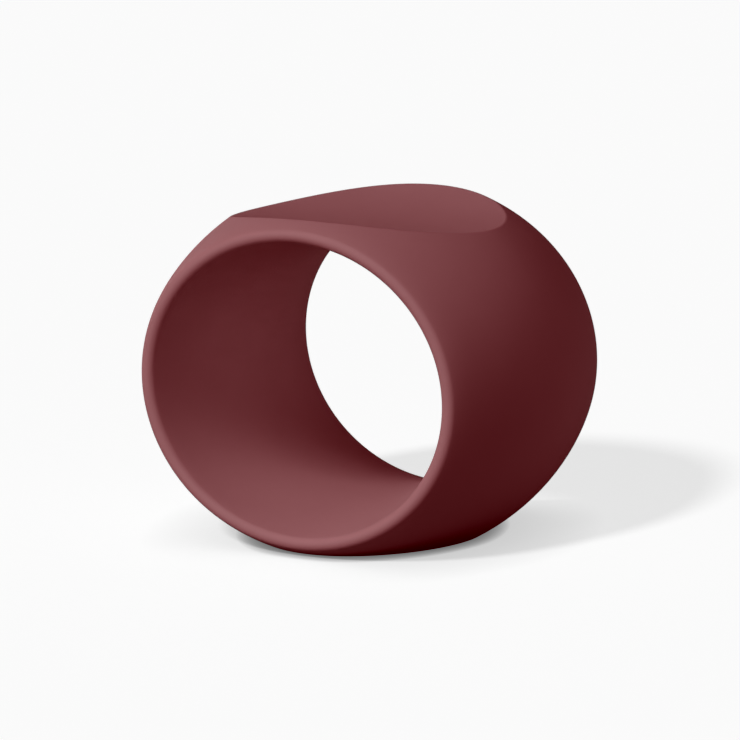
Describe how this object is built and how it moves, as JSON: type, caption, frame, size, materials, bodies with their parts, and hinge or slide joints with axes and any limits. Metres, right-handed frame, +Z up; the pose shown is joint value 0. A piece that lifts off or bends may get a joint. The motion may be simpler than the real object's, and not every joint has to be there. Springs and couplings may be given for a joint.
{
  "type": "stacking ring",
  "caption": "Chunky oval stacking ring in matte silicone, with a flared bore, a shallow scooped seat on top and a flat base.",
  "frame": {"origin": "on the surface that the ring stands on, under its middle", "axes": "+Z up; Y along the ring's bore, the same at both ends; X across the oval, its widest direction"},
  "size_m": [0.0904, 0.0602, 0.0684],
  "materials": {
    "silicone": "matte moulded silicone"
  },
  "bodies": {
    "root": {"ring_body": "silicone"}
  },
  "joints": []
}
